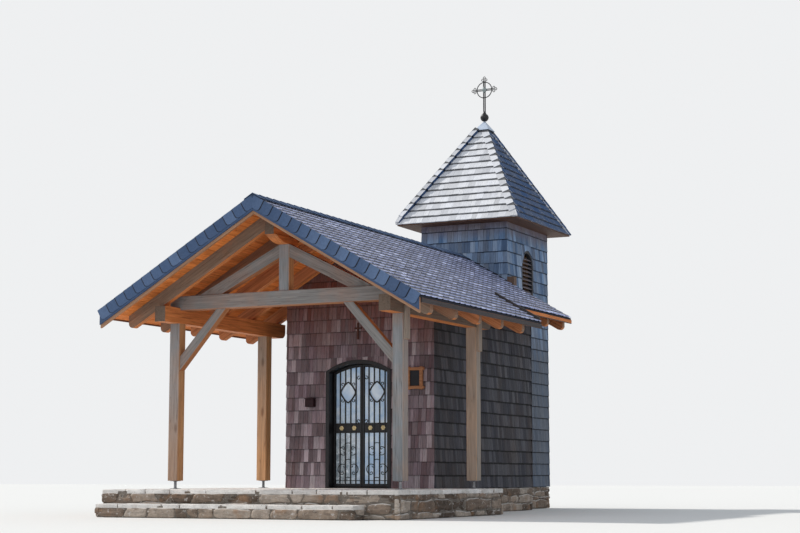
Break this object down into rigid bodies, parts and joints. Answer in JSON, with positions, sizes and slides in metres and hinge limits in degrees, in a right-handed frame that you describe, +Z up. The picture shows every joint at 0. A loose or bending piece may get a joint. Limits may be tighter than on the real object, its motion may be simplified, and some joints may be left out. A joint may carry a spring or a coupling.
{
  "type": "small chapel",
  "caption": "Small timber chapel with a slate-roofed open porch, shingled walls, a square tower with a pyramid roof and a double iron gate.",
  "frame": {"origin": "middle of the building's rectangular footprint, at ground level under the terrace and plinths", "axes": "+X runs to the right along the front, +Y runs from the porch back to the tower, +Z is up"},
  "size_m": [5.29, 9.965, 8.12],
  "materials": {
    "black_iron": "black painted wrought iron",
    "brass": "dull brass",
    "case_wood": "varnished softwood",
    "dark_board": "dark stained board",
    "front_shingle": "split wood shingles, reddish brown",
    "glass": "clear sheet glass",
    "lead": "dull grey sheet lead",
    "louvre_timber": "weathered louvre slats in a dark frame",
    "red_paint": "dark red paint, matt",
    "roof_timber": "sheltered softwood, warm orange-brown",
    "side_shingle": "split wood shingles, weathered grey-brown",
    "slate": "riven blue-grey slate",
    "steel": "plain galvanised steel",
    "stone": "rough grey-brown gneiss masonry with paler top faces",
    "tower_shingle": "split wood shingles, weathered silver-grey",
    "weathered_timber": "sawn timber weathered grey-beige, warmer where sheltered"
  },
  "bodies": {
    "chapel": {"barge_boards": "weathered_timber", "corner_block": "weathered_timber", "door_frame": "black_iron", "eaves_boards_left": "roof_timber", "eaves_boards_right": "roof_timber", "eaves_purlin_left": "weathered_timber", "eaves_purlin_right": "weathered_timber", "finial": "black_iron", "front_posts": "weathered_timber", "front_wall_head": "front_shingle", "front_wall_left": "front_shingle", "front_wall_right": "front_shingle", "king_post": "weathered_timber", "knee_braces": "weathered_timber", "left_wall": "side_shingle", "louvre_left": "louvre_timber", "louvre_right": "louvre_timber", "lower_step": "stone", "nave_plinth": "stone", "notice_case": "case_wood", "offering_box": "red_paint", "post_cleats": "weathered_timber", "post_shoes": "steel", "rafters_left": "roof_timber", "rafters_right": "roof_timber", "rear_posts": "weathered_timber", "rear_wall": "side_shingle", "ridge_cap": "slate", "ridge_corbel": "roof_timber", "ridge_purlin": "roof_timber", "right_wall": "side_shingle", "roof_boards_left": "roof_timber", "roof_boards_right": "roof_timber", "roof_slates_left": "slate", "roof_slates_right": "slate", "step_battens": "weathered_timber", "struts": "weathered_timber", "terrace": "stone", "tie_beam": "weathered_timber", "tower_cap": "lead", "tower_plinth": "stone", "tower_roof": "tower_shingle", "tower_soffit": "roof_timber", "tower_wall_front": "tower_shingle", "tower_wall_left": "tower_shingle", "tower_wall_rear": "tower_shingle", "tower_wall_right": "tower_shingle", "verge_slates": "slate", "wall_cross": "dark_board"},
    "gate_leaf_left": {"gate_grille_left": "black_iron", "gate_glass_left": "glass", "gate_bosses_left": "brass"},
    "gate_leaf_right": {"gate_grille_right": "black_iron", "gate_glass_right": "glass", "gate_bosses_right": "brass"}
  },
  "joints": [
    {"name": "gate_left_hinge", "type": "hinge", "parent": "chapel", "child": "gate_leaf_left", "pos_m": [-0.511, -1.2915, 0.4], "axis": [0, 0, 1], "range_deg": [0, 90]},
    {"name": "gate_right_hinge", "type": "hinge", "parent": "chapel", "child": "gate_leaf_right", "pos_m": [0.511, -1.2915, 0.4], "axis": [0, 0, -1], "range_deg": [0, 90]}
  ]
}
